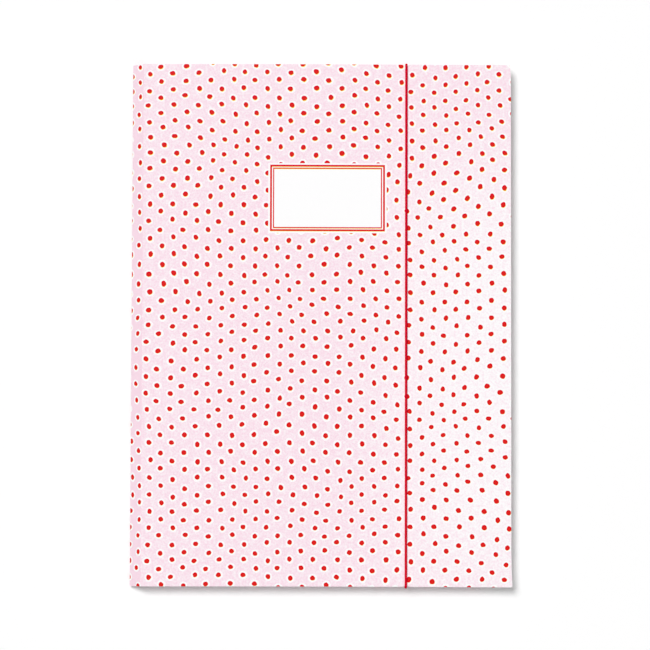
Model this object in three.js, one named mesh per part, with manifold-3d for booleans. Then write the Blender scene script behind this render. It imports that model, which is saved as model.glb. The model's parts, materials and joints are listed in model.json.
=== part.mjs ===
// A document folder of printed card with three inner flaps and a round elastic cord, in millimetres.
// It lies shut on its back panel: X runs across, Y up the cover, Z is up.
// Lengths along X are measured from the spine edge, and the finished group is moved so that
// its origin is the middle of the underside.
import * as THREE from 'three';
import { mergeVertices } from 'three/addons/utils/BufferGeometryUtils.js';
import Module from 'manifold-3d';

const wasm = await Module();
wasm.setup();

// Card
const cardThickness = 0.6;
const foldRadius = 0.6; // inside radius of a gusset fold
const foldSegments = 2; // curve segments for each quarter turn, doubled by the arc

// Panels
const panelWidth = 225.5; // front and back panel, from crease to fore-edge
const panelHeight = 320;
const spineRun = 7.5; // how far the leaning spine reaches sideways
const coverCornerRadius = 0.8;

// Room for the papers, and the air between two layers of card
const paperSpace = 4.3;
const layerGap = 0.3;

// Inner flaps
const wallSetback = 0.6; // the gusset walls stand this far inside the cover's edge
const endFlapDepth = 78; // top and bottom flap, from wall to tip
const endFlapStart = 9; // clear of the leaning spine
const endFlapInset = 6.5; // short of the fore-edge, clear of the side flap's wall
const endFlapTaper = 12;
const sideFlapDepth = 90;
const sideFlapInset = 9; // short of the cover's top and bottom
const sideFlapTaper = 14;
const flapCornerRadius = 12;
const flapCornerSegments = 3;

// Elastic cord
const cordDiameter = 1.4;
const cordFromForeEdge = 64.4;
const cordRestGap = 0.1; // between the cord and the card it lies on
const cordBendRadius = 0.9; // centre line
const cordSides = 8;
const cordStep = 0.45; // length of one straight piece of a bend
const cordOverlap = 0.5; // how far a hook runs into the straight stretch
const cordHoleRadius = 1.3;
const cordHoleSides = 16;
const dentMouth = 7; // width of the dent that the cord presses into the cover's edge
const dentFloor = 2.4;

// End bars
const barLength = 14;
const barRadius = 0.95;
const barWaistRadius = 0.65; // where the bar is crimped round the cord
const barWaistHalf = 1.6;
const barChamfer = 0.35;
const barSides = 12;

// Heights of the layers, from the table up
const endFlapUnder = cardThickness + paperSpace;
const endFlapTop = endFlapUnder + cardThickness;
const sideFlapTop = endFlapTop + layerGap + cardThickness;
const coverUnder = sideFlapTop + layerGap;
const coverTop = coverUnder + cardThickness;

// Places that follow from the sizes above
const closedWidth = spineRun + panelWidth;
const halfHeight = panelHeight / 2;
const wallFace = halfHeight - wallSetback; // outer face of the top and bottom gusset walls
const endFlapStop = panelWidth - endFlapInset;
const sideFlapHalfLength = halfHeight - sideFlapInset;
const outerFoldRadius = foldRadius + cardThickness;
const spineLean = Math.atan2(coverTop, spineRun); // angle of the spine above the table
const cordRadius = cordDiameter / 2;
const cordX = closedWidth - cordFromForeEdge;
const cordLegY = wallFace + cordRestGap + cordRadius;
const cordTopZ = coverTop + cordRestGap + cordRadius;
const cordHoleZ = endFlapTop / 2;
const dentEdge = cordLegY - cordRadius - layerGap;
const barY = wallFace - cardThickness - layerGap - barRadius;
const cordEndY = barY + barWaistRadius + layerGap;

function material(color, roughness, metalness = 0) {
  return new THREE.MeshStandardMaterial({ color, roughness, metalness });
}

const printedCard = material(0xf9e2ec, 0.55);
const redCord = material(0xcc0a22, 0.7);
const platedSteel = material(0xb9bbbd, 0.35, 1);

// Joining and cutting

function toSolid(geometry) {
  const bare = geometry.clone();
  bare.deleteAttribute('normal');
  bare.deleteAttribute('uv');
  const merged = mergeVertices(bare, 1e-5);
  const mesh = new wasm.Mesh({
    numProp: 3,
    vertProperties: new Float32Array(merged.attributes.position.array),
    triVerts: new Uint32Array(merged.index.array),
  });
  return new wasm.Manifold(mesh);
}

function toGeometry(solid) {
  const mesh = solid.getMesh();
  const geometry = new THREE.BufferGeometry();
  geometry.setAttribute('position', new THREE.BufferAttribute(mesh.vertProperties, 3));
  geometry.setIndex(new THREE.BufferAttribute(mesh.triVerts, 1));
  geometry.computeVertexNormals();
  return geometry;
}

function joined(solids) {
  return solids.reduce((all, next) => all.add(next));
}

// Outlines and sections

function polygon(points) {
  return new THREE.Shape(points.map(([a, b]) => new THREE.Vector2(a, b)));
}

// A closed outline through the corners, each rounded by its own radius.
function roundedOutline(corners) {
  const shape = new THREE.Shape();
  corners.forEach(([x, y, radius], i) => {
    const corner = new THREE.Vector2(x, y);
    const before = new THREE.Vector2(...corners.at(i - 1));
    const after = new THREE.Vector2(...corners[(i + 1) % corners.length]);
    const toBefore = before.sub(corner).normalize();
    const toAfter = after.sub(corner).normalize();
    const reach = radius / Math.tan(toBefore.angleTo(toAfter) / 2);
    const from = corner.clone().addScaledVector(toBefore, reach);
    const to = corner.clone().addScaledVector(toAfter, reach);
    if (i === 0) shape.moveTo(from.x, from.y);
    else shape.lineTo(from.x, from.y);
    if (radius > 0) shape.quadraticCurveTo(corner.x, corner.y, to.x, to.y);
  });
  shape.closePath();
  return shape;
}

// A plate with its outline in the XY plane.
function plate(shape, thickness, underside, segments = foldSegments) {
  const options = { depth: thickness, bevelEnabled: false, curveSegments: segments };
  return new THREE.ExtrudeGeometry(shape, options).translate(0, 0, underside);
}

// Section of the card that runs out along the table, up a gusset wall and back as a flap.
// u runs outwards to the wall's outer face at wallU, v is the height.
function gussetSection(wallU, flapTopV, baseU, tipU) {
  const outer = outerFoldRadius;
  const inner = foldRadius;
  const shape = new THREE.Shape();
  shape.moveTo(baseU, 0);
  shape.lineTo(wallU - outer, 0);
  shape.absarc(wallU - outer, outer, outer, -Math.PI / 2, 0, false);
  shape.lineTo(wallU, flapTopV - outer);
  shape.absarc(wallU - outer, flapTopV - outer, outer, 0, Math.PI / 2, false);
  shape.lineTo(tipU, flapTopV);
  shape.lineTo(tipU, flapTopV - cardThickness);
  shape.lineTo(wallU - outer, flapTopV - cardThickness);
  shape.absarc(wallU - outer, flapTopV - outer, inner, Math.PI / 2, 0, true);
  shape.lineTo(wallU - cardThickness, outer);
  shape.absarc(wallU - outer, outer, inner, 0, -Math.PI / 2, true);
  shape.lineTo(baseU, cardThickness);
  shape.closePath();
  return shape;
}

// The folded strip of one flap, trimmed to the flap's outline.
function foldedFlap(section, length, place, outline) {
  const options = { depth: length, bevelEnabled: false, curveSegments: foldSegments };
  const strip = new THREE.ExtrudeGeometry(section, options).applyMatrix4(place);
  const trim = plate(outline, coverTop + 2 * cardThickness, -cardThickness, flapCornerSegments);
  return toSolid(strip).intersect(toSolid(trim));
}

// Columns are where the section's u, v and the strip's length point in the folder.
function placement(uAxis, vAxis, alongAxis, origin) {
  return new THREE.Matrix4().makeBasis(uAxis, vAxis, alongAxis).setPosition(origin);
}

// Back panel with its three flaps

function endFlap(side) {
  const baseY = side * (wallFace - endFlapDepth / 2);
  const tipY = side * (wallFace - endFlapDepth);
  const length = endFlapStop - endFlapStart;
  const section = gussetSection(wallFace, endFlapTop, Math.abs(baseY), Math.abs(tipY));
  const along = new THREE.Vector3(side, 0, 0);
  const start = side > 0 ? endFlapStart : endFlapStop;
  const place = placement(
    new THREE.Vector3(0, side, 0), new THREE.Vector3(0, 0, 1), along, new THREE.Vector3(start, 0, 0));
  const corners = [
    [endFlapStart, side * (wallFace + wallSetback), 0],
    [endFlapStart, side * (wallFace - outerFoldRadius), 0],
    [endFlapStart + endFlapTaper, tipY, flapCornerRadius],
    [endFlapStop - endFlapTaper, tipY, flapCornerRadius],
    [endFlapStop, side * (wallFace - outerFoldRadius), 0],
    [endFlapStop, side * (wallFace + wallSetback), 0],
  ];
  return foldedFlap(section, length, place, roundedOutline(side > 0 ? corners : corners.reverse()));
}

function sideFlap() {
  const tipX = panelWidth - sideFlapDepth;
  const section = gussetSection(panelWidth, sideFlapTop, panelWidth - sideFlapDepth / 2, tipX);
  const place = placement(
    new THREE.Vector3(1, 0, 0), new THREE.Vector3(0, 0, 1), new THREE.Vector3(0, -1, 0),
    new THREE.Vector3(0, sideFlapHalfLength, 0));
  const outline = roundedOutline([
    [panelWidth + wallSetback, -sideFlapHalfLength, 0],
    [panelWidth + wallSetback, sideFlapHalfLength, 0],
    [panelWidth - outerFoldRadius, sideFlapHalfLength, 0],
    [tipX, sideFlapHalfLength - sideFlapTaper, flapCornerRadius],
    [tipX, -sideFlapHalfLength + sideFlapTaper, flapCornerRadius],
    [panelWidth - outerFoldRadius, -sideFlapHalfLength, 0],
  ]);
  return foldedFlap(section, 2 * sideFlapHalfLength, place, outline);
}

// The panel itself stops where its folds begin. By the spine it keeps the cover's full height.
function backPlate() {
  const foldY = wallFace - outerFoldRadius;
  const foldX = panelWidth - outerFoldRadius;
  const tabX = endFlapStart - layerGap;
  return toSolid(plate(polygon([
    [0, -halfHeight],
    [tabX, -halfHeight],
    [tabX, -foldY],
    [foldX, -foldY],
    [foldX, foldY],
    [tabX, foldY],
    [tabX, halfHeight],
    [0, halfHeight],
  ]), cardThickness, 0));
}

// A cutter along Y through the gusset wall, where the cord goes in.
function cordHole(side) {
  const length = 4 * cardThickness;
  const cutter = new THREE.CylinderGeometry(cordHoleRadius, cordHoleRadius, length, cordHoleSides);
  return toSolid(cutter.translate(cordX, side * (wallFace - cardThickness / 2), cordHoleZ));
}

function backPanelWithFlaps() {
  const sheet = joined([backPlate(), endFlap(1), endFlap(-1), sideFlap()]);
  return toGeometry(sheet.subtract(cordHole(1)).subtract(cordHole(-1)));
}

// Spine and front cover

// The spine leans from the back crease at x = 0 to the front crease above spineRun.
// Its lower end is cut level, a gap above the back panel, and its upper end square.
function spine() {
  const outwards = (along) => [along * Math.cos(spineLean), along * Math.sin(spineLean)];
  const inwards = (along) => {
    const [x, z] = outwards(along);
    return [x + cardThickness * Math.sin(spineLean), z - cardThickness * Math.cos(spineLean)];
  };
  const lowZ = cardThickness + layerGap;
  const outerLow = lowZ / Math.sin(spineLean);
  const innerLow = (lowZ + cardThickness * Math.cos(spineLean)) / Math.sin(spineLean);
  const upper = Math.hypot(spineRun, coverTop);
  const section = polygon([outwards(outerLow), inwards(innerLow), inwards(upper), outwards(upper)]);
  const options = { depth: panelHeight, bevelEnabled: false };
  return new THREE.ExtrudeGeometry(section, options).applyMatrix4(placement(
    new THREE.Vector3(1, 0, 0), new THREE.Vector3(0, 0, 1), new THREE.Vector3(0, -1, 0),
    new THREE.Vector3(0, halfHeight, 0)));
}

// The cover starts clear of the spine's inner corner, and its two edges are dented by the cord.
function frontCover() {
  const creaseEdge = spineRun + cardThickness * Math.sin(spineLean) + layerGap;
  const dent = (side) => [
    [cordX + side * dentMouth / 2, -side * halfHeight, 0],
    [cordX + side * dentFloor / 2, -side * dentEdge, 0],
    [cordX - side * dentFloor / 2, -side * dentEdge, 0],
    [cordX - side * dentMouth / 2, -side * halfHeight, 0],
  ];
  const outline = roundedOutline([
    [creaseEdge, -halfHeight, 0],
    ...dent(1).reverse(),
    [closedWidth, -halfHeight, coverCornerRadius],
    [closedWidth, halfHeight, coverCornerRadius],
    ...dent(-1).reverse(),
    [creaseEdge, halfHeight, 0],
  ]);
  return plate(outline, cardThickness, coverUnder);
}

// Elastic cord

function cordPiece(path, length) {
  const section = new THREE.Shape();
  section.absarc(0, 0, cordRadius, 0, 2 * Math.PI, false);
  const ring = polygon(section.getSpacedPoints(cordSides).slice(0, cordSides).map((p) => [p.x, p.y]));
  const steps = Math.max(1, Math.round(length / cordStep));
  return toSolid(new THREE.ExtrudeGeometry(ring, { extrudePath: path, steps }));
}

function quarterBend(from, corner, to) {
  const arcHandle = 0.5523; // share of the way to the corner at which a curve's handle makes a round bend
  return new THREE.CubicBezierCurve3(
    from, from.clone().lerp(corner, arcHandle), to.clone().lerp(corner, arcHandle), to);
}

// From the straight stretch over the cover's edge, down the gusset wall and in at the hole.
function cordHook(side) {
  const at = (y, z) => new THREE.Vector3(cordX, side * y, z);
  const bend = cordBendRadius;
  const start = at(cordLegY - bend - cordOverlap, cordTopZ);
  const overEdge = at(cordLegY - bend, cordTopZ);
  const legTop = at(cordLegY, cordTopZ - bend);
  const legFoot = at(cordLegY, cordHoleZ + bend);
  const inHole = at(cordLegY - bend, cordHoleZ);
  const end = at(cordEndY, cordHoleZ);
  const path = new THREE.CurvePath();
  path.add(new THREE.LineCurve3(start, overEdge));
  path.add(quarterBend(overEdge, at(cordLegY, cordTopZ), legTop));
  path.add(new THREE.LineCurve3(legTop, legFoot));
  path.add(quarterBend(legFoot, at(cordLegY, cordHoleZ), inHole));
  path.add(new THREE.LineCurve3(inHole, end));
  return cordPiece(path, path.getLength());
}

function elasticBand() {
  const reach = cordLegY - cordBendRadius;
  const straight = new THREE.LineCurve3(
    new THREE.Vector3(cordX, -reach, cordTopZ), new THREE.Vector3(cordX, reach, cordTopZ));
  return toGeometry(joined([cordPiece(straight, cordStep), cordHook(1), cordHook(-1)]));
}

// A bar across the cord's end, crimped narrow in the middle.
function endBar() {
  const half = barLength / 2;
  const profile = [
    [0, -half],
    [barRadius - barChamfer, -half],
    [barRadius, -half + barChamfer],
    [barRadius, -barWaistHalf - barChamfer],
    [barWaistRadius, -barWaistHalf],
    [barWaistRadius, barWaistHalf],
    [barRadius, barWaistHalf + barChamfer],
    [barRadius, half - barChamfer],
    [barRadius - barChamfer, half],
    [0, half],
  ].map(([radius, along]) => new THREE.Vector2(radius, along));
  return new THREE.LatheGeometry(profile, barSides).rotateZ(Math.PI / 2);
}

// Assembly

const folder = new THREE.Group();
folder.position.x = -closedWidth / 2;

function add(name, geometry, finish, x = 0, y = 0, z = 0) {
  const mesh = new THREE.Mesh(geometry, finish);
  mesh.name = name;
  mesh.position.set(x, y, z);
  folder.add(mesh);
}

add('back_panel_with_flaps', backPanelWithFlaps(), printedCard);
add('spine', spine(), printedCard);
add('front_cover', frontCover(), printedCard);
add('elastic_band', elasticBand(), redCord);
add('elastic_end_bar_top', endBar(), platedSteel, cordX, barY, cordHoleZ);
add('elastic_end_bar_bottom', endBar(), platedSteel, cordX, -barY, cordHoleZ);

const model = new THREE.Group();
model.add(folder);
export default model;
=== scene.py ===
# %% [markdown]
# A folder of printed card, and a fixed frame to dress.
# The folder is one creased sheet: a back panel with three inner flaps, a narrow spine and a front cover.
# A round red cord holds it shut. The frame gives the true size and place of every piece and the two creases
# that turn, so we load it first and measure it. All sizes below are millimetres, and `MM` turns them into the
# metres that Blender works in. In the picture the cord has slipped 0.15 mm to the right of its place.

# %% Load the frame and measure it
import json
import math

import bmesh
import bpy
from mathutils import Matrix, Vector


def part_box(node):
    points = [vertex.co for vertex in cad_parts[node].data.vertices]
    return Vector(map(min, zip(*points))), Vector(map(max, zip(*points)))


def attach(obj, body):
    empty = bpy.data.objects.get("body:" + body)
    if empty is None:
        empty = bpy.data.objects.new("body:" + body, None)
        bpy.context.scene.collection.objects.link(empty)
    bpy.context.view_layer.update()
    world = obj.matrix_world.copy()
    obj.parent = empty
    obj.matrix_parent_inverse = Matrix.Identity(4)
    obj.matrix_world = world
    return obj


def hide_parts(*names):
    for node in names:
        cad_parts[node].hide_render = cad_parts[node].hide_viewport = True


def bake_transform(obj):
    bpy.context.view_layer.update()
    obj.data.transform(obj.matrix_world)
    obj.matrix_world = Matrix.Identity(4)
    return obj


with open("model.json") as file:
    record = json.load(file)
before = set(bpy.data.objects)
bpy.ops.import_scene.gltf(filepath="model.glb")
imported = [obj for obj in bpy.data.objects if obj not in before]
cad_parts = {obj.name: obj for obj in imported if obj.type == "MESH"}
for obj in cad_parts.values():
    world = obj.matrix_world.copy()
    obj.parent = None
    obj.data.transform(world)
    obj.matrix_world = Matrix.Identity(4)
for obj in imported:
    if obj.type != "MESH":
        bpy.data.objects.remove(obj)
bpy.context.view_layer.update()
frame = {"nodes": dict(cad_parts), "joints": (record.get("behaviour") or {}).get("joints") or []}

MM = 0.001


def box_mm(node):
    low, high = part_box(node)
    return [v / MM for v in low], [v / MM for v in high]


cover_low, cover_high = box_mm("front_cover")
cord_low, cord_high = box_mm("elastic_band")
creases = {joint["name"]: [v / MM for v in joint["pos_m"]] for joint in frame["joints"]}

CARD = cover_high[2] - cover_low[2]
HALF_HEIGHT = cover_high[1]
FORE_EDGE = cover_high[0]
COVER_TOP = cover_high[2]
BACK_CREASE = creases["back_crease"][0]
FRONT_CREASE = creases["front_crease"][0]
LEAN = math.atan2(COVER_TOP, FRONT_CREASE - BACK_CREASE)
CORD_SLIP = 0.15
CORD_X = (cord_low[0] + cord_high[0]) / 2 + CORD_SLIP
print("card", round(CARD, 3), "closed width", round(FORE_EDGE - BACK_CREASE, 2),
      "spine leans", round(math.degrees(LEAN), 1), "degrees")

# %% [markdown]
# A camera that stands where the photographer stood.
# The picture looks almost straight down from a good distance, so the sides of the folder stay nearly
# parallel. The lens is long for the same reason. The camera stands a little towards the foot of the folder
# and is tipped towards its head, which makes the lower edge a touch wider than the upper one.

# %% Camera
CAMERA_AT = (-2.1, -100.7, 1700.0)
CAMERA_TURN_DEG = (3.39, -0.17, 0.165)
LENS_MM = 153.55
SENSOR_MM = 36.0
NEAREST_M = 0.02
FARTHEST_M = 20.0

camera_data = bpy.data.cameras.new("copy_stand")
camera_data.lens = LENS_MM
camera_data.sensor_width = SENSOR_MM
camera_data.clip_start = NEAREST_M
camera_data.clip_end = FARTHEST_M
camera = bpy.data.objects.new("copy_stand", camera_data)
camera.location = Vector(CAMERA_AT) * MM
camera.rotation_euler = [math.radians(v) for v in CAMERA_TURN_DEG]
bpy.context.scene.collection.objects.link(camera)
bpy.context.scene.camera = camera
print("camera at", [round(v, 3) for v in camera.location])

# %% [markdown]
# Ways to write a material.
# Each finish below is a small graph of nodes. Adding nodes by hand takes many lines, so a short class keeps
# one graph and offers the few moves we need: a node, a calculation, a soft step between two values and a mix
# of colours. Nearly everything that we pass in can be a plain number or the output of another node. The mix
# node has sockets for several kinds of data, so we name the places of its colour sockets.

# %% A small helper for node graphs
COLOUR_A, COLOUR_B, COLOUR_RESULT = 6, 7, 2


class Finish:
    """One material and the nodes in it."""

    def __init__(self, name):
        self.material = bpy.data.materials.new(name)
        self.material.use_nodes = True
        self.tree = self.material.node_tree
        self.shader = self.tree.nodes["Principled BSDF"]

    def feed(self, socket, value):
        if isinstance(value, bpy.types.NodeSocket):
            self.tree.links.new(value, socket)
        elif socket.type == "RGBA" and len(value) == 3:
            socket.default_value = (*value, 1.0)
        else:
            socket.default_value = value

    def surface(self, name, value):
        self.feed(self.shader.inputs[name], value)

    def node(self, kind, settings=None, **inputs):
        made = self.tree.nodes.new(kind)
        for key, value in (settings or {}).items():
            setattr(made, key, value)
        for key, value in inputs.items():
            self.feed(made.inputs[key], value)
        return made

    def operate(self, kind, operation, values):
        made = self.tree.nodes.new(kind)
        made.operation = operation
        for socket, value in zip(made.inputs, values):
            self.feed(socket, value)
        return made

    def math(self, operation, *values):
        return self.operate("ShaderNodeMath", operation, values).outputs["Value"]

    def vector(self, operation, *values):
        made = self.operate("ShaderNodeVectorMath", operation, values)
        return made.outputs["Value" if operation == "LENGTH" else "Vector"]

    def step(self, value, full, none):
        """1 where value is at full, 0 where it is at none, and a soft slope between."""
        made = self.node("ShaderNodeMapRange", {"interpolation_type": "SMOOTHSTEP"})
        for name, number in (("Value", value), ("From Min", none), ("From Max", full)):
            self.feed(made.inputs[name], number)
        return made.outputs["Result"]

    def centred(self, value, reach):
        """A value from 0 to 1 becomes one from minus reach to reach."""
        return self.math("MULTIPLY", self.math("SUBTRACT", value, 0.5), 2 * reach)

    def varied(self, base, reach, share):
        """The base value, and up to reach more as share goes from 0 to 1."""
        return self.math("ADD", base, self.math("MULTIPLY", share, reach))

    def mix(self, share, first, second, blend="MIX"):
        made = self.node("ShaderNodeMix", {"data_type": "RGBA", "blend_type": blend}, Factor=share)
        self.feed(made.inputs[COLOUR_A], first)
        self.feed(made.inputs[COLOUR_B], second)
        return made.outputs[COLOUR_RESULT]

    def noise(self, place, scale, detail, kind="2D"):
        return self.node(
            "ShaderNodeTexNoise", {"noise_dimensions": kind}, Vector=place, Scale=scale, Detail=detail)

    def bump(self, height, distance_mm, strength):
        made = self.node("ShaderNodeBump", Height=height, Distance=distance_mm * MM, Strength=strength)
        self.surface("Normal", made.outputs["Normal"])


# %% [markdown]
# Where the dots lie.
# The print has small hand-drawn dots in columns that wander, every second column half a row lower. A picture
# of them would blur close up, so we draw them by arithmetic: every point of the sheet finds the cell that it
# lies in, and the cell's own random numbers move, turn and squeeze its dot. The UV map `sheet` gives the
# place on the flat sheet in millimetres, so the dots run on round every fold.

# %% Dots in wandering columns
COLUMN_PITCH = 7.2
ROW_PITCH = 10.35
DOT_SHIFT = (0.76, 0.86)
DOT_TURN = 0.3
DOT_SQUASH = 0.075
DOT_WOBBLE = 0.28
SHEET_WANDER = 9.0
WANDER_SCALE = 0.012


def dot_cell(ink, place):
    """Each point's place in its cell, and how the cell's dot is turned, squeezed and roughened."""
    wander = ink.noise(place, WANDER_SCALE, detail=1.0).outputs["Color"]
    wander = ink.vector("SUBTRACT", wander, (0.5, 0.5, 0.5))
    wandered = ink.vector("ADD", place, ink.vector("MULTIPLY", wander, (SHEET_WANDER, SHEET_WANDER, 0.0)))
    split = ink.node("ShaderNodeSeparateXYZ", Vector=wandered)
    column_place = ink.math("DIVIDE", split.outputs["X"], COLUMN_PITCH)
    column = ink.math("FLOOR", column_place)
    half_drop = ink.math("MULTIPLY", ink.math("FLOORED_MODULO", column, 2.0), 0.5)
    row_place = ink.math("ADD", ink.math("DIVIDE", split.outputs["Y"], ROW_PITCH), half_drop)
    cell = ink.node("ShaderNodeCombineXYZ", X=column, Y=ink.math("FLOOR", row_place)).outputs["Vector"]
    random = ink.node("ShaderNodeTexWhiteNoise", {"noise_dimensions": "2D"}, Vector=cell)
    draws = ink.node("ShaderNodeSeparateXYZ", Vector=random.outputs["Color"])
    local_x = ink.centred(ink.math("FRACT", column_place), COLUMN_PITCH / 2)
    local_y = ink.centred(ink.math("FRACT", row_place), ROW_PITCH / 2)
    local = ink.node(
        "ShaderNodeCombineXYZ",
        X=ink.math("SUBTRACT", local_x, ink.centred(draws.outputs["X"], DOT_SHIFT[0])),
        Y=ink.math("SUBTRACT", local_y, ink.centred(draws.outputs["Y"], DOT_SHIFT[1])),
    ).outputs["Vector"]
    turn = ink.centred(draws.outputs["Z"], DOT_TURN)
    squash = ink.centred(random.outputs["Value"], DOT_SQUASH)
    squeeze = ink.node(
        "ShaderNodeCombineXYZ", X=ink.math("ADD", squash, 1.0), Y=ink.math("SUBTRACT", 1.0, squash)
    ).outputs["Vector"]
    wobble = ink.centred(ink.noise(place, scale=0.55, detail=1.0).outputs["Fac"], DOT_WOBBLE)
    return local, turn, squeeze, wobble


def dot_distance(ink, cell, shift=(0.0, 0.0, 0.0)):
    """How far a point is from the middle of its dot, in the dot's own turned and squeezed measure."""
    local, turn, squeeze, wobble = cell
    moved = ink.vector("SUBTRACT", local, shift)
    turned = ink.node("ShaderNodeVectorRotate", {"rotation_type": "Z_AXIS"}, Vector=moved, Angle=turn)
    shaped = ink.vector("MULTIPLY", turned.outputs["Vector"], squeeze)
    return ink.math("ADD", ink.vector("LENGTH", shaped), wobble)


print("each dot has a cell of", COLUMN_PITCH, "by", ROW_PITCH, "mm")

# %% [markdown]
# The title field.
# A white field is left open in the print for a title, with one thick and one thin red line inside its edge.
# It is printed and has no thickness. A line is the set of points that lie between two distances inside the
# field's edge, so all we need is the distance from a rectangle.

# %% Title field and its two lines
TITLE_CENTRE = (3.95, 77.5)
TITLE_HALF = (36.3, 21.5)
FRAME_INSET = 1.1
FRAME_LINE = 1.1
INNER_INSET = 2.9
INNER_LINE = 0.68
INK_EDGE = 0.06


def title_distance(ink, across, up, rise=0.0):
    """How far a point is outside the title field, negative inside. rise moves the field up the sheet."""
    x = ink.math("ABSOLUTE", ink.math("SUBTRACT", across, TITLE_CENTRE[0]))
    y = ink.math("ABSOLUTE", ink.math("SUBTRACT", ink.math("SUBTRACT", up, TITLE_CENTRE[1]), rise))
    return ink.math(
        "MAXIMUM", ink.math("SUBTRACT", x, TITLE_HALF[0]), ink.math("SUBTRACT", y, TITLE_HALF[1]))


def line_mask(ink, distance, inset, width):
    """1 on a printed line that lies inset inside the title field's edge."""
    outer = ink.step(distance, -inset - INK_EDGE / 2, -inset + INK_EDGE / 2)
    inner = ink.step(distance, -inset - width + INK_EDGE / 2, -inset - width - INK_EDGE / 2)
    return ink.math("MULTIPLY", outer, inner)


print("title field", 2 * TITLE_HALF[0], "by", 2 * TITLE_HALF[1], "mm")

# %% [markdown]
# The pale tint.
# Between the dots lies a thin pink tint on white card. It has soft clouds and a fine grain. It is denser on
# the spine, partly from more ink and partly as painted shade for the spine that leans away from the lamps.
# Towards the fore-edge, most of all a little below the middle, it pales in a painted highlight, a soft lamp
# reflection laid into the colour. We add these up as a density and mix the colour of the card with that of
# the ink by it, as a printer lays on more or less ink.

# %% Density of the tint
PAPER = (0.967, 0.962, 0.966)
TINT = (0.925, 0.70, 0.795)
TINT_DENSITY = 0.76
CLOUD_REACH = 0.38
GRAIN_REACH = 0.65
# Denser tint on the spine: partly more ink, partly painted shade for the spine that leans away from the
# lamps.
SPINE_INK_AND_SHADE = 0.6
SPINE_INK_AND_SHADE_SPAN = (-1.0, 0.5)
# Painted highlight: where and how much the tint pales towards the fore-edge, a little below the middle, as a
# lamp's soft reflection would make it.
HIGHLIGHT_ACROSS = (0.0, 100.0)
HIGHLIGHT_HEIGHT = -35.0
HIGHLIGHT_REACH = (60.0, 190.0)
HIGHLIGHT_DEPTH = 0.52


def tint_density(ink, place, across, up, grain):
    cloud = ink.noise(place, scale=0.30, detail=3.0).outputs["Fac"]
    # Painted shade and more ink: the tint is denser from the front crease towards the spine.
    spine_ink_and_shade = ink.step(across, FRONT_CREASE + SPINE_INK_AND_SHADE_SPAN[0], FRONT_CREASE + SPINE_INK_AND_SHADE_SPAN[1])
    # Painted highlight: less tint towards the fore-edge and near a band a little below the middle.
    highlight_band_distance = ink.math("ABSOLUTE", ink.math("SUBTRACT", up, HIGHLIGHT_HEIGHT))
    painted_highlight = ink.math(
        "MULTIPLY", ink.step(across, HIGHLIGHT_ACROSS[1], HIGHLIGHT_ACROSS[0]), ink.step(highlight_band_distance, *HIGHLIGHT_REACH))
    density = ink.math("ADD", TINT_DENSITY, ink.centred(cloud, CLOUD_REACH))
    density = ink.math("ADD", density, ink.centred(grain, GRAIN_REACH))
    density = ink.math("SUBTRACT", density, ink.math("MULTIPLY", painted_highlight, HIGHLIGHT_DEPTH))
    return ink.math("ADD", density, ink.math("MULTIPLY", spine_ink_and_shade, SPINE_INK_AND_SHADE))


print("tint density", TINT_DENSITY, "and", round(TINT_DENSITY - HIGHLIGHT_DEPTH, 2), "where it is palest")

# %% [markdown]
# The printed side of the card.
# Each dot sits in a white ring where the tint was left out. The red is two inks, magenta and yellow, one over
# the other. They missed each other by a hair, more at the head of the sheet, so a dot has a yellow rim below
# and a rosy one above. We lay on one mask after the other with a multiply mix, because real inks darken what
# lies under them. The magenta is thinner in the middle of each dot, and it shines a little more than the
# card does.

# %% Printed card
DOT_RADIUS = 1.51
RING_RADIUS = 2.65
CORE_SHARES = (0.15, 0.65)
MISS_FOOT = 0.055
MISS_HEAD = 0.11
MISS_ACROSS = -0.5
MAGENTA_INK = (0.73, 0.0, 0.09)
THIN_MAGENTA_INK = (0.69, 0.022, 0.06)
YELLOW_INK = (1.0, 0.80, 0.07)
CARD_ROUGHNESS = 0.56
INK_GLOSS = 0.10
GRAIN_ROUGHNESS = 0.05


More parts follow.
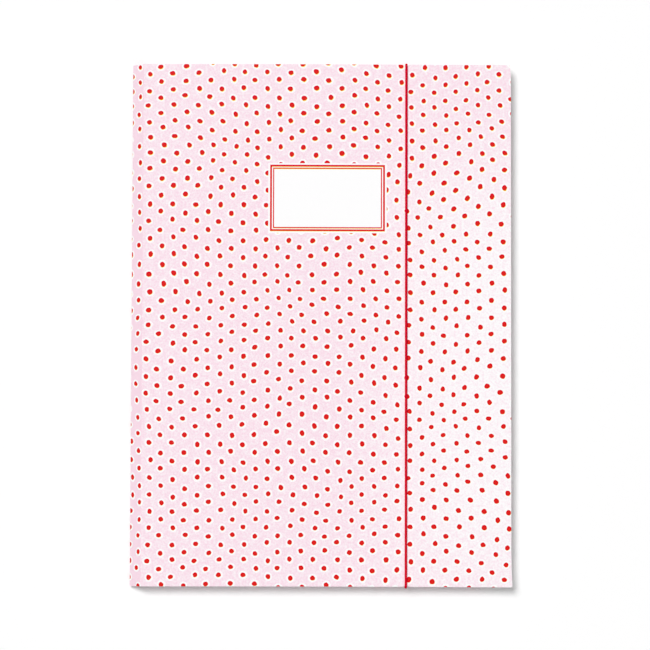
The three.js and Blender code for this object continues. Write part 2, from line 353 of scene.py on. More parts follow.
def make_printed_card():
    ink = Finish("printed_card")
    place = ink.node("ShaderNodeUVMap", {"uv_map": "sheet"}).outputs["UV"]
    sheet = ink.node("ShaderNodeSeparateXYZ", Vector=place)
    across, up = sheet.outputs["X"], sheet.outputs["Y"]
    cell = dot_cell(ink, place)
    from_dot = dot_distance(ink, cell)
    ring = ink.step(from_dot, RING_RADIUS - INK_EDGE, RING_RADIUS + INK_EDGE)
    title = ink.step(title_distance(ink, across, up), -INK_EDGE / 2, INK_EDGE / 2)
    open_sheet = ink.math("SUBTRACT", 1.0, title)

    def ink_mask(shift, rise):
        dots = ink.step(dot_distance(ink, cell, shift), DOT_RADIUS - INK_EDGE, DOT_RADIUS + INK_EDGE)
        edge = title_distance(ink, across, up, rise)
        lines = ink.math("MAXIMUM", line_mask(ink, edge, FRAME_INSET, FRAME_LINE),
                         line_mask(ink, edge, INNER_INSET, INNER_LINE))
        return ink.math("MAXIMUM", ink.math("MULTIPLY", dots, open_sheet), lines)

    miss = ink.varied(MISS_FOOT, MISS_HEAD, ink.step(up, HALF_HEIGHT, -HALF_HEIGHT / 2))
    miss_across = ink.math("MULTIPLY", miss, MISS_ACROSS)
    magenta_shift = ink.node("ShaderNodeCombineXYZ", X=miss_across, Y=miss).outputs["Vector"]
    yellow_shift = ink.vector("MULTIPLY", magenta_shift, (-1.0, -1.0, -1.0))
    magenta = ink_mask(magenta_shift, miss)
    yellow = ink_mask(yellow_shift, ink.math("MULTIPLY", miss, -1.0))

    grain = ink.noise(place, scale=0.8, detail=2.0).outputs["Fac"]
    tinted = ink.math("MULTIPLY", open_sheet, ink.math("SUBTRACT", 1.0, ring))
    density = ink.math("MULTIPLY", tint_density(ink, place, across, up, grain), tinted)
    colour = ink.mix(density, PAPER, TINT)
    core = ink.step(from_dot, *(DOT_RADIUS * share for share in CORE_SHARES))
    thinned = ink.mix(ink.math("MULTIPLY", core, open_sheet), MAGENTA_INK, THIN_MAGENTA_INK)
    colour = ink.mix(magenta, colour, thinned, "MULTIPLY")
    ink.surface("Base Color", ink.mix(yellow, colour, YELLOW_INK, "MULTIPLY"))

    roughness = ink.math("SUBTRACT", CARD_ROUGHNESS, ink.math("MULTIPLY", magenta, INK_GLOSS))
    ink.surface("Roughness", ink.math("ADD", roughness, ink.centred(grain, GRAIN_ROUGHNESS)))
    ink.surface("Specular IOR Level", 0.08)
    tooth = ink.noise(place, scale=1.1, detail=4.0).outputs["Fac"]
    ink.bump(tooth, distance_mm=0.02, strength=0.5)
    return ink.material


printed_card = make_printed_card()
print("printed card has", len(printed_card.node_tree.nodes), "nodes")

# %% [markdown]
# The bare side and the cut edge.
# Inside, the card is unprinted: a soft white with faint clouds and a few short fibres. The cut edge shows the
# slightly greyer core in fine layers. The bare side reads the same `sheet` map as the print, so its fibres
# have a true size. The layers lie flat because their noise is squeezed along the thickness.

# %% Bare card and cut edge
BARE_DULL = (0.87, 0.86, 0.845)
BARE_CLEAR = (0.93, 0.925, 0.915)
FLECK = (0.62, 0.58, 0.52)
FLECK_SHARE = 0.16
FIBRE_STRETCH = (0.5, 2.4, 1.0)
CORE_DULL = (0.80, 0.78, 0.77)
CORE_CLEAR = (0.95, 0.94, 0.93)
LAYER_STRETCH = (400.0, 400.0, 9000.0)


def make_bare_card():
    board = Finish("bare_card")
    place = board.node("ShaderNodeUVMap", {"uv_map": "sheet"}).outputs["UV"]
    clouds = board.noise(place, scale=0.12, detail=4.0).outputs["Fac"]
    fibre_place = board.vector("MULTIPLY", place, FIBRE_STRETCH)
    fibres = board.noise(fibre_place, scale=1.3, detail=5.0).outputs["Fac"]
    flecks = board.math("MULTIPLY", board.step(fibres, full=0.70, none=0.64), FLECK_SHARE)
    board.surface("Base Color", board.mix(flecks, board.mix(clouds, BARE_DULL, BARE_CLEAR), FLECK))
    board.surface("Roughness", board.varied(base=0.72, reach=0.2, share=clouds))
    board.surface("Specular IOR Level", 0.25)
    board.bump(fibres, distance_mm=0.03, strength=0.6)
    return board.material


def make_cut_edge():
    edge = Finish("cut_edge")
    place = edge.node("ShaderNodeTexCoord").outputs["Object"]
    layer_place = edge.vector("MULTIPLY", place, LAYER_STRETCH)
    layers = edge.noise(layer_place, scale=1.0, detail=2.0, kind="3D").outputs["Fac"]
    edge.surface("Base Color", edge.mix(layers, CORE_DULL, CORE_CLEAR))
    edge.surface("Roughness", edge.varied(base=0.8, reach=0.15, share=layers))
    edge.bump(layers, distance_mm=0.04, strength=0.7)
    return edge.material


CARD_FINISHES = (printed_card, make_bare_card(), make_cut_edge())
print("card finishes", [finish.name for finish in CARD_FINISHES])

# %% [markdown]
# How a fold is described.
# Seen from the end, folded card is a line with rounded corners. `fold_line` takes the sharp corners and a
# radius for each, and returns the points of the rounded line, with one extra point before and after each
# bend. Those extra points hold the flat parts flat when Blender smooths the shading. A `Fold` pairs such a
# line for the printed face with one for the bare face, and knows the way along the printed face to every
# point, because that is where a point lies on the flat sheet.

# %% Fold lines
BEND_STEPS = 6
HOLD = 0.35


def corner_arc(before, corner, after, radius, steps, hold=None):
    """Points on the arc that rounds a corner, and where hold is given, one more at each side of it."""
    back = (before - corner).normalized()
    ahead = (after - corner).normalized()
    half = back.angle(ahead) / 2
    reach = radius / math.tan(half)
    centre = corner + (back + ahead).normalized() * (radius / math.sin(half))
    arm = corner + back * reach - centre
    first = arm.normalized()
    last = (corner + ahead * reach - centre).normalized()
    points = [centre + first.slerp(last, k / steps) * arm.length for k in range(steps + 1)]
    if hold is None:
        return points
    return [corner + back * (reach + hold), *points, corner + ahead * (reach + hold)]


def fold_line(corners, radii, holds):
    corners = [Vector(corner) for corner in corners]
    points = [corners[0]]
    for i, (radius, hold) in enumerate(zip(radii, holds), start=1):
        points += corner_arc(*corners[i - 1:i + 2], radius, BEND_STEPS, hold)
    points.append(corners[-1])
    return points


class Fold:
    """The printed and the bare line of one folded strip, and the way along the printed one."""

    def __init__(self, printed, bare, start=0.0):
        self.printed = printed
        self.bare = bare
        self.way = [start]
        for a, b in zip(printed, printed[1:]):
            self.way.append(self.way[-1] + (b - a).length)

    def end_at(self, place):
        """Shifts the way so that it ends at this place on the flat sheet."""
        shift = place - self.way[-1]
        self.way = [way + shift for way in self.way]

    def at(self, way):
        k = 0
        while k < len(self.way) - 2 and way > self.way[k + 1]:
            k += 1
        share = (way - self.way[k]) / (self.way[k + 1] - self.way[k])
        return self.printed[k].lerp(self.printed[k + 1], share), self.bare[k].lerp(self.bare[k + 1], share)


print("each bend has", BEND_STEPS, "steps")

# %% [markdown]
# A flat net of faces.
# We draw a piece flat, as it leaves the cutting die, and slice it along every line where it will bend. More
# slices in between keep the faces small enough to shade evenly. An outline's round corners are given by
# their sharp corner and a radius.

# %% Flat net
SLICE_STEP = 14.0
CORNER_STEPS = 6
SAME_POINT = 1e-4


def spaced(low, high, step):
    count = max(1, round((high - low) / step))
    return [low + (high - low) * k / count for k in range(count + 1)]


def slices(low, high, clear_low, clear_high):
    """Places to slice between two borders that stay clear of both."""
    return spaced(low + clear_low, high - clear_high, SLICE_STEP)


def rounded_corners(corners):
    """The points of a closed outline whose corners (a, b, radius) are rounded."""
    points = []
    for i, (a, b, radius) in enumerate(corners):
        if radius == 0:
            points.append((a, b))
            continue
        before = Vector(corners[i - 1][:2])
        after = Vector(corners[(i + 1) % len(corners)][:2])
        points += [tuple(p) for p in corner_arc(before, Vector((a, b)), after, radius, CORNER_STEPS)]
    return points


def flat_net(outline, holes, across, along):
    net = bmesh.new()
    edges = []
    for loop in [outline, *holes]:
        corners = [net.verts.new((a, b, 0.0)) for a, b in loop]
        edges += [net.edges.new((v, corners[(k + 1) % len(corners)])) for k, v in enumerate(corners)]
    bmesh.ops.triangle_fill(net, use_beauty=True, edges=edges)
    for normal, places in (((1, 0, 0), across), ((0, 1, 0), along)):
        for place in places:
            bmesh.ops.bisect_plane(
                net, geom=net.verts[:] + net.edges[:] + net.faces[:], dist=SAME_POINT,
                plane_co=[place * n for n in normal], plane_no=normal)
    net.verts.index_update()
    return net


print("nets are sliced about every", SLICE_STEP, "mm")

# %% [markdown]
# From the flat net to folded card.
# Each point of the net goes to its folded place twice, once for the printed face and once for the bare one,
# and the open border is closed with the cut edge. A Solidify modifier would be shorter, but it has to guess
# what happens in a tight bend. This way the card keeps its thickness, and its faces know where they lie on
# the flat sheet.

# %% Folded sheet
PRINTED, BARE, EDGE = 0, 1, 2
SHARP_DEG = 40


def add_piece(name, mesh):
    piece = bpy.data.objects.new(name, mesh)
    bpy.context.scene.collection.objects.link(piece)
    print(name, "is made of", len(mesh.polygons), "face(s)")
    return piece


def folded_sheet(name, net, place, print_place):
    """Closed card. place gives a net point's printed and bare position, print_place its spot in the print."""
    spots = [(v.co.x, v.co.y) for v in net.verts]
    solid = bmesh.new()
    sheet_map = solid.loops.layers.uv.new("sheet")
    printed, bare = (
        [solid.verts.new(Vector(place(a, b)[side]) * MM) for a, b in spots] for side in (PRINTED, BARE))
    solid.verts.index_update()

    def add(corners, finish):
        face = solid.faces.new(corners)
        face.material_index = finish
        face.smooth = True
        for loop in face.loops:
            loop[sheet_map].uv = print_place(*spots[loop.vert.index % len(spots)])

    for face in net.faces:
        numbers = [v.index for v in face.verts]
        add([printed[n] for n in numbers], PRINTED)
        add([bare[n] for n in reversed(numbers)], BARE)
    for edge in net.edges:
        if edge.is_boundary:
            a, b = (v.index for v in edge.verts)
            add([printed[a], printed[b], bare[b], bare[a]], EDGE)
    bmesh.ops.recalc_face_normals(solid, faces=solid.faces)
    mesh = bpy.data.meshes.new(name)
    solid.to_mesh(mesh)
    solid.free()
    net.free()
    mesh.set_sharp_from_angle(angle=math.radians(SHARP_DEG))
    for finish in CARD_FINISHES:
        mesh.materials.append(finish)
    return add_piece(name, mesh)


print("edges sharper than", SHARP_DEG, "degrees stay sharp")

# %% [markdown]
# The spine and the front cover, seen from the end.
# On the real folder the long creases are scored and soft. Each long crease belongs to a sheet that bends with
# it: the spine's sheet reaches round the back crease, and the cover's sheet starts in the middle of the
# spine and bends over the front crease. The seam between them lies where the spine is stiff, so it never
# opens. At the back crease the bare face is pressed thin, so that it can close to a sharp angle.

# %% Spine and cover profiles
SCORE_REACH = 2.3
SCORE_DEPTH = 0.75
SCORE_SPREAD = 0.06
SCORE_STEPS = BEND_STEPS // 2
NOSE_RADIUS = 0.25
FRONT_RADIUS = 0.9
FRONT_HOLD = 0.8
BACK_TAB = 4.0

lean_along = Vector((math.cos(LEAN), math.sin(LEAN)))
lean_inward = Vector((math.sin(LEAN), -math.cos(LEAN)))
low_corner = Vector((BACK_CREASE, 0.0))
high_corner = Vector((FRONT_CREASE, COVER_TOP))
seam_printed = low_corner.lerp(high_corner, 0.5)
seam_bare = seam_printed + lean_inward * CARD
front_mitre = high_corner + Vector((CARD * math.tan(LEAN / 2), -CARD))


def scored_line():
    """The bare line round the back crease, with the score pressed into it."""
    before = Vector((BACK_CREASE + SCORE_REACH, CARD))
    after = low_corner + lean_along * SCORE_REACH + lean_inward * CARD
    pinch = low_corner + Vector((math.cos(LEAN / 2), math.sin(LEAN / 2))) * SCORE_DEPTH
    shares = [SCORE_SPREAD * k / SCORE_STEPS for k in range(1, SCORE_STEPS + 1)]
    bend = [pinch.lerp(before, share) for share in reversed(shares)]
    bend += [pinch, *(pinch.lerp(after, share) for share in shares)]
    return [Vector((BACK_CREASE + BACK_TAB, CARD)), before, *bend, after, seam_bare]


cover_fold = Fold(
    fold_line([seam_printed, high_corner, (FORE_EDGE, COVER_TOP)], [FRONT_RADIUS], [FRONT_HOLD]),
    fold_line([seam_bare, front_mitre, (FORE_EDGE, COVER_TOP - CARD)], [FRONT_RADIUS - CARD / 2],
              [FRONT_HOLD]))
cover_fold.end_at(FORE_EDGE)
spine_fold = Fold(
    fold_line([(BACK_CREASE + BACK_TAB, 0.0), low_corner, seam_printed], [NOSE_RADIUS],
              [SCORE_REACH - NOSE_RADIUS / math.tan(LEAN / 2)]),
    scored_line())
spine_fold.end_at(cover_fold.way[0])
print("printed face: back crease tab at", round(spine_fold.way[0], 2), "seam at", round(cover_fold.way[0], 2))

# %% [markdown]
# The cover's outline.
# Card is cut with a steel die, so its edges are nearly straight. Both short edges bow towards the head of the
# folder by 0.2 mm in the middle, and the cord has pressed a small dent into each. Wear has clipped the
# upper fore-edge corner, and the lower one has softened and flares out by 0.6 mm.

# %% Cover outline
EDGE_BOW = {1: 0.2, -1: -0.2}
EDGE_STEP = 12.0
DENT_EDGE = 159.3
DENT_WIDTH = 1.7
DENT_STEP = DENT_WIDTH / 4
DENT_STEPS = 10
CORNER_RADIUS = 0.7
CLIP = (0.9, 6.8)
FLARE = (0.6, 22.0)


def cover_edge(side):
    """Points of the cover's top (side 1) or bottom edge, from the crease to the fore-edge."""
    places = spaced(cover_fold.way[0], FORE_EDGE - CORNER_RADIUS, EDGE_STEP)
    places += [CORD_X + DENT_STEP * k for k in range(-DENT_STEPS, DENT_STEPS + 1)]
    points = []
    for a in sorted(places):
        share = max(0.0, (a - FRONT_CREASE) / (FORE_EDGE - FRONT_CREASE))
        bow = EDGE_BOW[side] * 4 * share * (1 - share)
        dent = (HALF_HEIGHT + bow - DENT_EDGE) * math.exp(-((a - CORD_X) / DENT_WIDTH) ** 2)
        points.append((a, side * (HALF_HEIGHT + bow - dent)))
    return points


def fore_edge_points(side, depth, steps):
    """Points near a fore-edge corner. Each step is a share of depth across and a distance from the end."""
    return [(FORE_EDGE + depth * share, side * (HALF_HEIGHT - inset)) for share, inset in steps]


def cover_outline():
    corner = CORNER_RADIUS
    flared = [(FORE_EDGE + FLARE[0] - corner * 0.3, -HALF_HEIGHT + corner * 0.3)]
    flared += fore_edge_points(-1, FLARE[0], ((1.0, corner), (0.25, FLARE[1] * 0.5), (0.0, FLARE[1])))
    worn = fore_edge_points(1, -CLIP[0], ((0.0, CLIP[1]), (0.35, CLIP[1] * 0.45), (0.85, corner * 0.5)))
    upper_edge = [point for point in cover_edge(1) if point[0] < FORE_EDGE - CLIP[0] - corner]
    upper_edge.append((FORE_EDGE - CLIP[0] - corner * 0.6, HALF_HEIGHT))
    return cover_edge(-1) + flared + worn + upper_edge[::-1]


print("cover outline has", len(cover_outline()), "points")

# %% [markdown]
# The cover's sheet. The cover stands a hair proud between the front crease and the cord, like any card that
# holds papers. The outline already lies in the print's own measure, so a point's spot in the print is the
# same as its place on the net.

# %% Cover sheet
COVER_RISE = 0.3
RISE_AT_ENDS = 0.6


def cover_rise(a, b):
    share = (a - FRONT_CREASE) / (CORD_X - FRONT_CREASE)
    if not 0 < share < 1:
        return 0.0
    along = RISE_AT_ENDS + (1 - RISE_AT_ENDS) * math.cos(math.pi * b / (2 * HALF_HEIGHT))
    return COVER_RISE * math.sin(math.pi * share) ** 2 * along


def cover_place(a, b):
    printed, bare = cover_fold.at(a)
    rise = cover_rise(a, b)
    return (printed.x, b, printed.y + rise), (bare.x, b, bare.y + rise)


def same_place(a, b):
    return a, b


height_slices = slices(-HALF_HEIGHT, HALF_HEIGHT, clear_low=8, clear_high=8)
cover_slices = cover_fold.way[1:-1] + slices(FRONT_CREASE, FORE_EDGE, clear_low=6, clear_high=4)
cover_net = flat_net(cover_outline(), [], cover_slices, height_slices)
cover_sheet = folded_sheet("cover_sheet", cover_net, cover_place, same_place)
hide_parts("front_cover")

# %% [markdown]
# The spine's sheet.
# It is a narrow strip from a short tab on the back panel, round the back crease, to the seam in the middle of
# the spine. It has straight ends, because nothing has worn or pressed them.

# %% Spine sheet
def spine_place(a, b):
    printed, bare = spine_fold.at(a)
    return (printed.x, b, printed.y), (bare.x, b, bare.y)


spine_ends = [(spine_fold.way[0], -HALF_HEIGHT), (cover_fold.way[0], -HALF_HEIGHT),
              (cover_fold.way[0], HALF_HEIGHT), (spine_fold.way[0], HALF_HEIGHT)]
spine_net = flat_net(spine_ends, [], spine_fold.way[1:-1], height_slices)
spine_sheet = folded_sheet("spine_sheet", spine_net, spine_place, same_place)
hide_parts("spine")

# %% [markdown]
# How the two sheets are placed.
# Each of these sheets touches two bodies of the frame, so it can't ride on one of them alone. Here each sheet
# only has its place baked into its mesh, and no body carries it. The back crease opens the furthest, from a
# sharp fold to flat.


def crease_blend(sheet):
    """Bakes the sheet's place in the world into its mesh."""
    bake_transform(sheet)


crease_blend(spine_sheet)
crease_blend(cover_sheet)

# %% [markdown]
# The folds of the back panel.
# The back panel has three flaps. Each rises in a short gusset wall and folds in over the papers, the top and
# bottom ones first and the side one over them. The fold puts the printed face outwards again, so the
# dots show on the flaps. All the folds have the same section, so one function makes them.

# %% Gusset folds
WALL_SETBACK = 0.6
FOLD_INSIDE = 0.6
FOLD_OUTSIDE = FOLD_INSIDE + CARD
FOLD_LEAD = 10.0
END_FLAP_TOP = 5.5
END_FLAP_DEPTH = 78.0
SIDE_FLAP_TOP = 6.4
SIDE_FLAP_DEPTH = 90.0
BACK_EDGE = box_mm("back_panel_with_flaps")[1][0]
WALL_FACE = HALF_HEIGHT - WALL_SETBACK
END_FOLD = WALL_FACE - FOLD_OUTSIDE
SIDE_FOLD = BACK_EDGE - FOLD_OUTSIDE


def gusset(wall, top, depth):
    """The fold of one flap: along the panel, up the wall and back as the flap."""
    start = wall - FOLD_LEAD
    tip = wall - depth
    inner = wall - CARD
    printed = [(start, 0.0), (wall, 0.0), (wall, top), (tip, top)]
    bare = [(start, CARD), (inner, CARD), (inner, top - CARD), (tip, top - CARD)]
    return Fold(fold_line(printed, [FOLD_OUTSIDE] * 2, [HOLD] * 2),
                fold_line(bare, [FOLD_INSIDE] * 2, [HOLD] * 2), start)


end_fold = gusset(WALL_FACE, END_FLAP_TOP, END_FLAP_DEPTH)
side_fold = gusset(BACK_EDGE, SIDE_FLAP_TOP, SIDE_FLAP_DEPTH)
print("flat sheet reaches", round(end_fold.way[-1], 1), "up and", round(side_fold.way[-1], 1), "across")

# %% [markdown]
# The back panel's outline.
# The flaps taper towards their tips and have round corners, so that papers slide in. One quarter of the
# outline is written down, and its mirror image follows. Two small holes are punched in the gusset walls for
# the ends of the cord.

# %% Back outline and cord holes
END_FLAP_START = BACK_CREASE + 9.0
END_FLAP_INSET = 6.5
END_FLAP_TAPER = 12.0
SIDE_FLAP_INSET = 9.0
SIDE_FLAP_TAPER = 14.0
FLAP_CORNER = 12.0
TAB_SLIT = 0.3
HOLE_RADIUS = 1.3
HOLE_SIDES = 20


def back_outline():
    tip_b = end_fold.way[-1]
    tip_a = side_fold.way[-1]
    stop = BACK_EDGE - END_FLAP_INSET
    half = HALF_HEIGHT - SIDE_FLAP_INSET
    left = BACK_CREASE + BACK_TAB
    tab = END_FLAP_START - TAB_SLIT
    quarter = [
        (SIDE_FOLD, -half, 0), (SIDE_FOLD, -END_FOLD, 0), (stop, -END_FOLD, 0),
        (stop - END_FLAP_TAPER, -tip_b, FLAP_CORNER), (END_FLAP_START + END_FLAP_TAPER, -tip_b, FLAP_CORNER),
        (END_FLAP_START, -END_FOLD, 0), (tab, -END_FOLD, 0), (tab, -HALF_HEIGHT, 0), (left, -HALF_HEIGHT, 0),
    ]
    side = [(tip_a, half - SIDE_FLAP_TAPER, FLAP_CORNER), (tip_a, -half + SIDE_FLAP_TAPER, FLAP_CORNER)]
    mirrored = [(a, -b, radius) for a, b, radius in reversed(quarter)]
    return rounded_corners(side + quarter + mirrored)


def cord_hole(side):
    wall_foot = end_fold.way[1 + BEND_STEPS + 1]
    middle = wall_foot + (END_FLAP_TOP / 2 - FOLD_OUTSIDE)
    turns = [2 * math.pi * k / HOLE_SIDES for k in range(HOLE_SIDES)]
    return [(CORD_X + HOLE_RADIUS * math.cos(t), side * (middle + HOLE_RADIUS * math.sin(t))) for t in turns]


print("back outline has", len(back_outline()), "points, and the holes are", 2 * HOLE_RADIUS, "mm wide")

# %% [markdown]
# The back panel's sheet.
# Springy card doesn't lie flat. The folder rests on the middle of its back panel, which hangs 2 mm below the
# edges, so the shadow on the table begins a little way under them. The print runs on from the spine's sheet:
# going across the panel means going back along the flat sheet.

# %% Back panel and flaps
BELLY = 2.0
AT_FLAP_START = 0.01


def belly(a, b):
    """How far the middle of the back panel hangs below its edges."""
    share_a = (a - BACK_CREASE - BACK_TAB) / (SIDE_FOLD - BACK_CREASE - BACK_TAB)
    share_b = (b + END_FOLD) / (2 * END_FOLD)
    if not (0 < share_a < 1 and 0 < share_b < 1):
        return 0.0
    return BELLY * math.sin(math.pi * share_a) * math.sin(math.pi * share_b)


def back_place(a, b):
    side = 1 if b > 0 else -1
    if a > SIDE_FOLD:
        printed, bare = side_fold.at(a)
        return (printed.x, b, printed.y), (bare.x, b, bare.y)
    if abs(b) > END_FOLD and a > END_FLAP_START - AT_FLAP_START:
        printed, bare = end_fold.at(abs(b))
        return (a, side * printed.x, printed.y), (a, side * bare.x, bare.y)
    sag = belly(a, b)
    return (a, b, -sag), (a, b, CARD - sag)


def back_print_place(a, b):
    return spine_fold.way[0] - (a - BACK_CREASE - BACK_TAB), b


end_slices = end_fold.way[1:-1] + slices(END_FOLD, end_fold.way[-1], clear_low=20, clear_high=6)
side_slices = side_fold.way[1:-1] + slices(SIDE_FOLD, side_fold.way[-1], clear_low=20, clear_high=6)
across_slices = side_slices + slices(BACK_CREASE, SIDE_FOLD, clear_low=10, clear_high=6)
along_slices = end_slices + [-b for b in end_slices] + slices(-END_FOLD, END_FOLD, clear_low=6, clear_high=6)
back_net = flat_net(back_outline(), [cord_hole(1), cord_hole(-1)], across_slices, along_slices)
back_sheet = folded_sheet("back_sheet_with_flaps", back_net, back_place, back_print_place)
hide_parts("back_panel_with_flaps")
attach(back_sheet, "back")

# %% [markdown]
# The route of the elastic cord.
# The route is the frame's: over the cover, round both of its ends, down the gusset walls and in through the
# holes to the end bars. The braid that comes next needs many rings, so we fill the route with short, even
# steps. The cord is a little flatter than round, because it is stretched over card.

# %% Cord route
CORD_RADIUS = (cord_high[0] - cord_low[0]) / 2
CORD_BEND = 0.9
CORD_BEND_STEPS = 8
CORD_FLATTEN = 0.93
CORD_STEP = 0.26
SHORT_OF_BAR = 0.9
LEG_Y = cord_high[1] - CORD_RADIUS
CORD_TOP_Z = COVER_TOP + CORD_RADIUS * CORD_FLATTEN
HOLE_Z = END_FLAP_TOP / 2
bar_low, bar_high = box_mm("elastic_end_bar_top")
CORD_END_Y = (bar_low[1] + bar_high[1]) / 2 + SHORT_OF_BAR


def cord_route():
    """Points along the middle of the cord, in the plane of Y and Z."""
    corners = [(-CORD_END_Y, HOLE_Z), (-LEG_Y, HOLE_Z), (-LEG_Y, CORD_TOP_Z),
               (LEG_Y, CORD_TOP_Z), (LEG_Y, HOLE_Z), (CORD_END_Y, HOLE_Z)]
    corners = [Vector(corner) for corner in corners]
    points = [corners[0]]
    for before, corner, after in zip(corners, corners[1:], corners[2:]):
        points += corner_arc(before, corner, after, CORD_BEND, CORD_BEND_STEPS)
    points.append(corners[-1])
    fine = [points[0]]
    for a, b in zip(points, points[1:]):
        count = max(1, round((b - a).length / CORD_STEP))
        fine += [a.lerp(b, k / count) for k in range(1, count + 1)]
    return fine


print("cord route has", len(cord_route()), "points")

# %% [markdown]
# The yarn of the cord.
# The cord is a rubber core in a sleeve of red yarn. The finish paints shade into the hollows between the
# threads, darker than on their backs, so it reads the height of the braid, which the mesh below keeps at
# every point as `braid_height`. Fine fibres run along the cord, and handling has worn it paler in places.

# %% Red yarn
# The colour of the painted shade in the braid's hollows, and of the darker fibres.
YARN_HOLLOW_SHADE_AND_DARK_FIBRE = (0.45, 0.0, 0.014)
YARN_RED = (0.74, 0.0, 0.02)
YARN_WORN = (0.88, 0.01, 0.04)
HOLLOW_SHADE_SHARE = 0.75
FIBRE_SHARE = 0.35
WORN_SHARE = 0.12
YARN_STRETCH = (60.0, 9.0, 1.0)


def make_elastic():
    yarn = Finish("red_elastic")
    place = yarn.node("ShaderNodeUVMap", {"uv_map": "braid"}).outputs["UV"]
    height = yarn.node("ShaderNodeAttribute", {"attribute_name": "braid_height"}).outputs["Fac"]
    fibre_place = yarn.vector("MULTIPLY", place, YARN_STRETCH)
    fibre = yarn.noise(fibre_place, scale=1.0, detail=3.0).outputs["Fac"]
    # Painted shade: the hollows of the braid are darker, mixed with the random tone of the fibres.
    hollow_shade_and_fibre = yarn.varied(yarn.math("MULTIPLY", height, HOLLOW_SHADE_SHARE), FIBRE_SHARE, fibre)
    wear = yarn.noise(place, scale=0.05, detail=2.0).outputs["Fac"]
    worn = yarn.math("MULTIPLY", yarn.step(wear, full=0.75, none=0.45), WORN_SHARE)
    yarn.surface("Base Color", yarn.mix(worn, yarn.mix(hollow_shade_and_fibre, YARN_HOLLOW_SHADE_AND_DARK_FIBRE, YARN_RED), YARN_WORN))
    yarn.surface("Roughness", yarn.varied(base=0.62, reach=0.25, share=fibre))
    yarn.surface("Specular IOR Level", 0.05)
    yarn.surface("Sheen Weight", 0.01)
    yarn.surface("Sheen Roughness", 0.4)
    yarn.bump(fibre, distance_mm=0.02, strength=0.6)
    return yarn.material


red_elastic = make_elastic()
print("yarn has", len(red_elastic.node_tree.nodes), "nodes")

# %% [markdown]
# The braided cord.
# A plain tube would look like plastic, so we lift every point of a fine tube by the height of the braid: two
# families of threads run round the core both ways, each going over and under the other. Modelling every
# thread by itself would cost many more faces and look the same from arm's length.

# %% Elastic cord
CORD_SIDES = 32
BRAID_THREADS = 8
BRAID_PITCH = 5.2
BRAID_HEIGHT = 0.055
THREAD_ROUNDNESS = 0.7
THREAD_DIP = 0.55


def braid_height(turn, way):
    """Height of the braid, from 0 to 1, at the angle turn round the cord and the length way along it."""
    climb = 2 * math.pi * way / BRAID_PITCH
    right = BRAID_THREADS * (turn + climb) / 2
    left = BRAID_THREADS * (turn - climb) / 2
    over = 0.5 + 0.5 * math.cos(right + left) * math.cos(right - left)
    right_thread = abs(math.cos(right)) ** THREAD_ROUNDNESS * (1.0 - THREAD_DIP * (1.0 - over))
    left_thread = abs(math.cos(left)) ** THREAD_ROUNDNESS * (1.0 - THREAD_DIP * over)
    return max(right_thread, left_thread)


def cord_ring(solid, lift, point, ahead, way):
    """The points round the cord at one point of its route, with their heights in the layer lift."""
    outward = Vector((0.0, -ahead.y, ahead.x))
    ring = []
    for k in range(CORD_SIDES):
        turn = 2 * math.pi * k / CORD_SIDES
        height = braid_height(turn, way)
        radius = CORD_RADIUS + BRAID_HEIGHT * height
        spot = Vector((CORD_X + radius * math.cos(turn), point.x, point.y))
        spot += outward * radius * CORD_FLATTEN * math.sin(turn)
        vertex = solid.verts.new(spot * MM)
        vertex[lift] = height
        ring.append(vertex)
    return ring


def make_cord(route):
    solid = bmesh.new()
    braid_map = solid.loops.layers.uv.new("braid")
    lift = solid.verts.layers.float.new("braid_height")
    ways = [0.0]
    for a, b in zip(route, route[1:]):
        ways.append(ways[-1] + (b - a).length)
    rings = []
    for i, point in enumerate(route):
        ahead = (route[min(i + 1, len(route) - 1)] - route[max(i - 1, 0)]).normalized()
        rings.append(cord_ring(solid, lift, point, ahead, ways[i]))
    for i in range(len(rings) - 1):
        for k in range(CORD_SIDES):
            n = (k + 1) % CORD_SIDES
            face = solid.faces.new((rings[i][k], rings[i][n], rings[i + 1][n], rings[i + 1][k]))
            face.smooth = True
            corners = ((k, i), (k + 1, i), (k + 1, i + 1), (k, i + 1))
            for loop, (around, along) in zip(face.loops, corners):
                loop[braid_map].uv = (around / CORD_SIDES, ways[along])
    solid.faces.new(rings[0][::-1])
    solid.faces.new(rings[-1])
    bmesh.ops.recalc_face_normals(solid, faces=solid.faces)
    mesh = bpy.data.meshes.new("elastic_cord")
    solid.to_mesh(mesh)
    solid.free()
    mesh.materials.append(red_elastic)
    print("elastic cord is", round(ways[-1], 1), "mm long")
    return add_piece("elastic_cord", mesh)


elastic_cord = make_cord(cord_route())
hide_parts("elastic_band")
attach(elastic_cord, "back")

# %% [markdown]
# The end bars.
# A small plated bar is crimped across each end of the cord and stops it from pulling out of its hole. The
# bars lie hidden behind the gusset walls. Their shape in the frame is right already, so they only need
# their metal: a dull plating with fine scratches along the bar.

# %% End bars
PLATING_DULL = (0.45, 0.45, 0.46)
PLATING_BRIGHT = (0.68, 0.68, 0.68)
SCRATCH_STRETCH = (300.0, 9000.0, 9000.0)


def make_plating():
    metal = Finish("plated_bar")
    place = metal.node("ShaderNodeTexCoord").outputs["Object"]
    scratch_place = metal.vector("MULTIPLY", place, SCRATCH_STRETCH)
    scratches = metal.noise(scratch_place, scale=1.0, detail=3.0, kind="3D").outputs["Fac"]
    metal.surface("Base Color", metal.mix(scratches, PLATING_DULL, PLATING_BRIGHT))
    metal.surface("Roughness", metal.varied(base=0.22, reach=0.25, share=scratches))
    metal.surface("Metallic", 1.0)
    metal.bump(scratches, distance_mm=0.01, strength=0.5)
    return metal.material


plating = make_plating()
for bar_name in ("elastic_end_bar_top", "elastic_end_bar_bottom"):
    bar = frame["nodes"][bar_name]
    bar.data.materials.clear()
    bar.data.materials.append(plating)
    print(bar_name, "is plated")

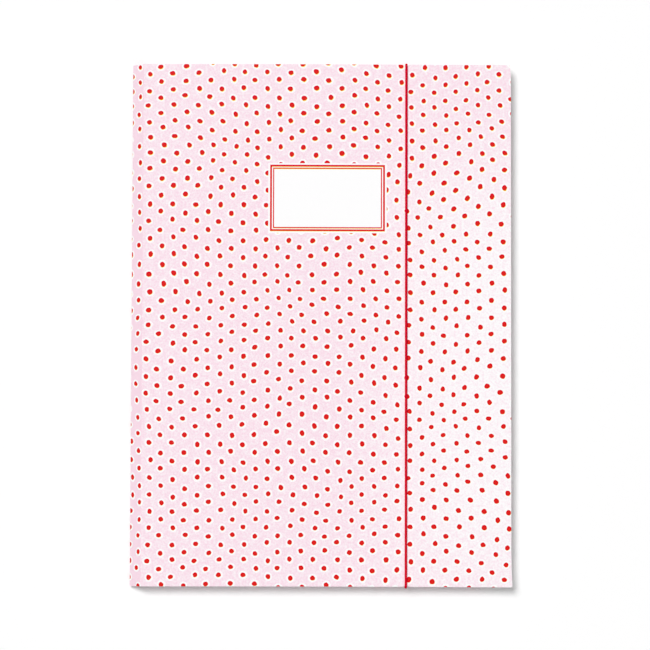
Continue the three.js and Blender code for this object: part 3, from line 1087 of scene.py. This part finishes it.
# %% [markdown]
# The table. The folder lies on a matt white table, 0.05 mm below the lowest point of the back panel. The
# table gives no light of its own: the lamps that follow are just strong enough to bring it to white, and so
# it keeps the folder's soft shadow.

# %% Table
TABLE_DROP = BELLY + 0.05
TABLE_HALF = 3000.0
TABLE_DULL = (0.983, 0.983, 0.983)
TABLE_CLEAR = (0.988, 0.988, 0.988)


def make_table_white():
    white = Finish("white_table")
    place = white.node("ShaderNodeTexCoord").outputs["Object"]
    tone = white.noise(place, scale=3.0, detail=2.0, kind="3D").outputs["Fac"]
    white.surface("Base Color", white.mix(tone, TABLE_DULL, TABLE_CLEAR))
    white.surface("Roughness", 0.9)
    white.surface("Specular IOR Level", 0.0)
    return white.material


table_corners = [(x * TABLE_HALF * MM, y * TABLE_HALF * MM, -TABLE_DROP * MM)
                 for x, y in ((-1, -1), (1, -1), (1, 1), (-1, 1))]
table_mesh = bpy.data.meshes.new("table")
table_mesh.from_pydata(table_corners, [], [(0, 1, 2, 3)])
table_mesh.materials.append(make_table_white())
table = add_piece("table", table_mesh)

# %% [markdown]
# A white sky that gives little light.
# A low view looks past the table, and there the picture should be white too. So the camera, mirrors and glass
# see a sky of strength 1, while every other ray, and so the light on the folder, gets a much fainter one. A
# Light Path node tells the rays apart.

# %% Sky
SKY = 0.065

world = bpy.data.worlds.new("sky")
world.use_nodes = True
background = world.node_tree.nodes["Background"]
background.inputs["Color"].default_value = (1.0, 1.0, 1.0, 1.0)
light_path = world.node_tree.nodes.new("ShaderNodeLightPath")
strength = None
for ray in ("Is Camera Ray", "Is Glossy Ray", "Is Transmission Ray"):
    larger = world.node_tree.nodes.new("ShaderNodeMath")
    larger.operation = "MAXIMUM"
    larger.inputs[1].default_value = SKY
    world.node_tree.links.new(light_path.outputs[ray], larger.inputs[0])
    if strength is not None:
        world.node_tree.links.new(strength, larger.inputs[1])
    strength = larger.outputs["Value"]
world.node_tree.links.new(strength, background.inputs["Strength"])
bpy.context.scene.world = world
print("the sky lights the folder with a strength of", SKY)

# %% [markdown]
# Two lamps.
# In the picture the shadow is deepest at the right and lower edges, and it is short. A large lamp high up at
# the upper left casts it, as a window would. The lamp stands far away, so its light is even over the whole
# folder. A wide, weak lamp above, a little towards the lower right, softens the shadow.

# %% Light
CEILING_AT = (500.0, -750.0, 2200.0)
CEILING_SIZE = 4400.0
CEILING_WATTS = 37.0
WINDOW_AT = (-3450.0, 4200.0, 9600.0)
WINDOW_SIZE = 5500.0
WINDOW_WATTS = 990.0


def add_lamp(name, at, size, watts):
    lamp_data = bpy.data.lights.new(name, "AREA")
    lamp_data.shape = "SQUARE"
    lamp_data.size = size * MM
    lamp_data.energy = watts
    lamp = bpy.data.objects.new(name, lamp_data)
    lamp.location = Vector(at) * MM
    lamp.rotation_euler = (-lamp.location).to_track_quat("-Z", "Y").to_euler()
    bpy.context.scene.collection.objects.link(lamp)
    print(name, "stands", round(lamp.location.length, 2), "m away")


add_lamp("ceiling", CEILING_AT, CEILING_SIZE, CEILING_WATTS)
add_lamp("window", WINDOW_AT, WINDOW_SIZE, WINDOW_WATTS)
bpy.context.scene.view_settings.view_transform = "Standard"
